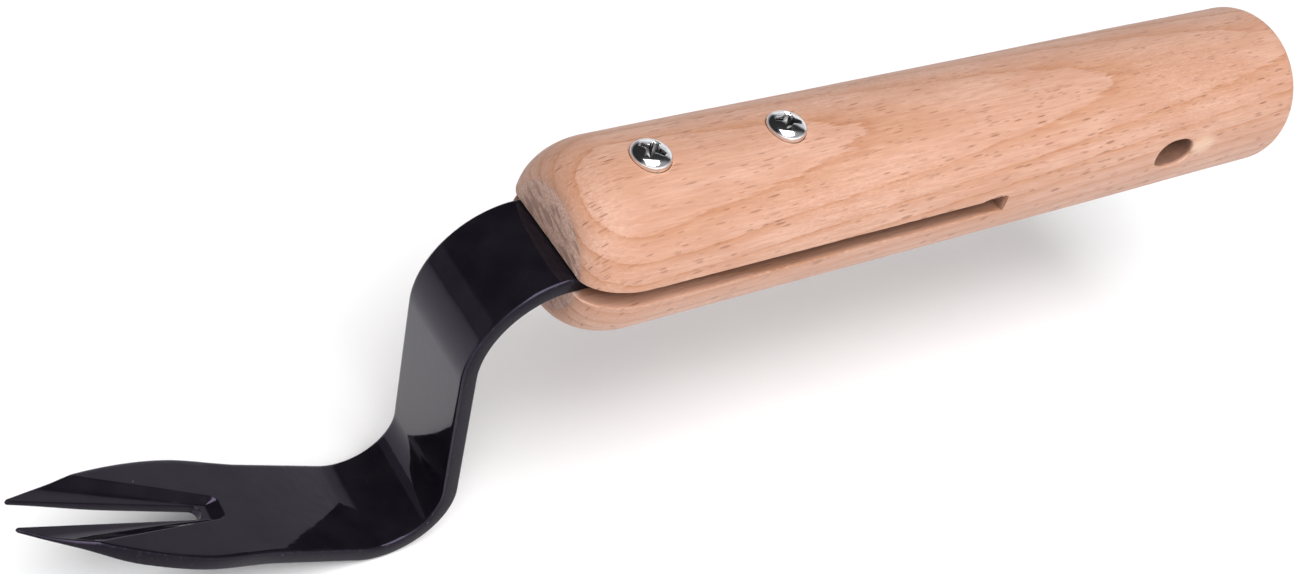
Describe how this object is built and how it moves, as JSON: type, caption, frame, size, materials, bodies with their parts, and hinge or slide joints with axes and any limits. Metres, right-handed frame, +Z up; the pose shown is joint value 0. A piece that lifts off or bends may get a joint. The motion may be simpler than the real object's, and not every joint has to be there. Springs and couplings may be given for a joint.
{
  "type": "hoof pick",
  "caption": "Hand pick with a bent flat steel blade ending in a forked tip, screwed into the slot of a round wooden handle with an oblong hanging hole.",
  "frame": {"origin": "centre of the handle's flat butt end, on the handle's axis", "axes": "+X out of the butt along the handle's axis, +Z up out of the side that carries the screw heads, +Y across the blade's width"},
  "size_m": [0.2489, 0.032, 0.0739],
  "materials": {
    "beech": "sanded bare beech with ray flecks along the grain and speckled end grain on the nose",
    "black_coat": "smooth gloss black coating on bent steel bar",
    "nickel": "bright nickel plate"
  },
  "bodies": {
    "root": {"handle": "beech", "blade": "black_coat", "front_screw": "nickel", "rear_screw": "nickel"}
  },
  "joints": []
}
